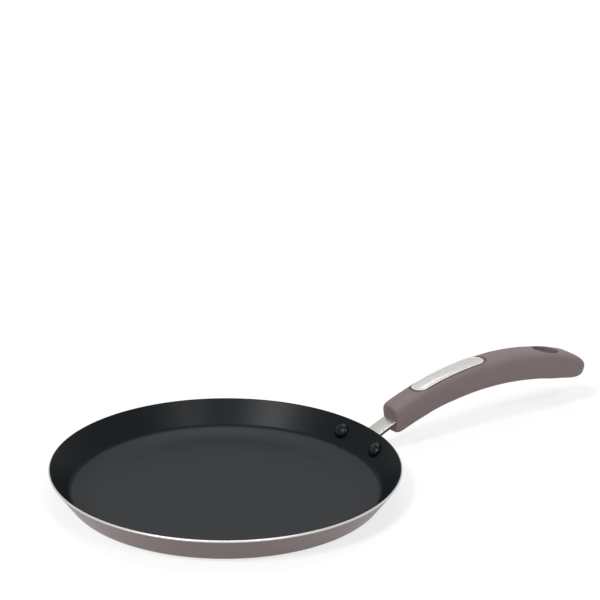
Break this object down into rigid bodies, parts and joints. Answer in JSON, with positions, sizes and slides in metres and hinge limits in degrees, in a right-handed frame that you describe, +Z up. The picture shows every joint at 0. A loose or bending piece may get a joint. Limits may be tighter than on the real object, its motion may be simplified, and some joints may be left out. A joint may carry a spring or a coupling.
{
  "type": "crepe pan",
  "caption": "Shallow round crepe pan with a flared wall, black non-stick inside, taupe lacquer outside, bare lip, riveted steel bracket and a curved soft-touch grip with inlay and hanging hole.",
  "frame": {"origin": "on the dish's axis, in the plane the base stands on", "axes": "+X from the dish's axis along the handle, +Z up out of the dish, +Y to the left for one who looks from the dish along the handle"},
  "size_m": [0.4393, 0.24, 0.0528],
  "materials": {
    "bare_aluminium": "turned bright aluminium",
    "black_nonstick": "black non-stick coat with a fine stipple",
    "taupe_lacquer": "taupe satin lacquer",
    "black_rivet": "aluminium rivet, head coated black",
    "satin_steel": "satin steel",
    "soft_touch_grip": "taupe soft-touch moulding",
    "satin_inlay": "satin inlay plate",
    "zinc_fastener": "zinc plated steel"
  },
  "bodies": {
    "root": {"pan_body": "bare_aluminium", "nonstick_lining": "black_nonstick", "outer_lacquer": "taupe_lacquer", "rivet_left": "black_rivet", "rivet_right": "black_rivet", "handle_bracket": "satin_steel", "handle_grip": "soft_touch_grip", "inlay_plate": "satin_inlay", "grip_screw": "zinc_fastener", "spring_washer": "zinc_fastener"}
  },
  "joints": []
}
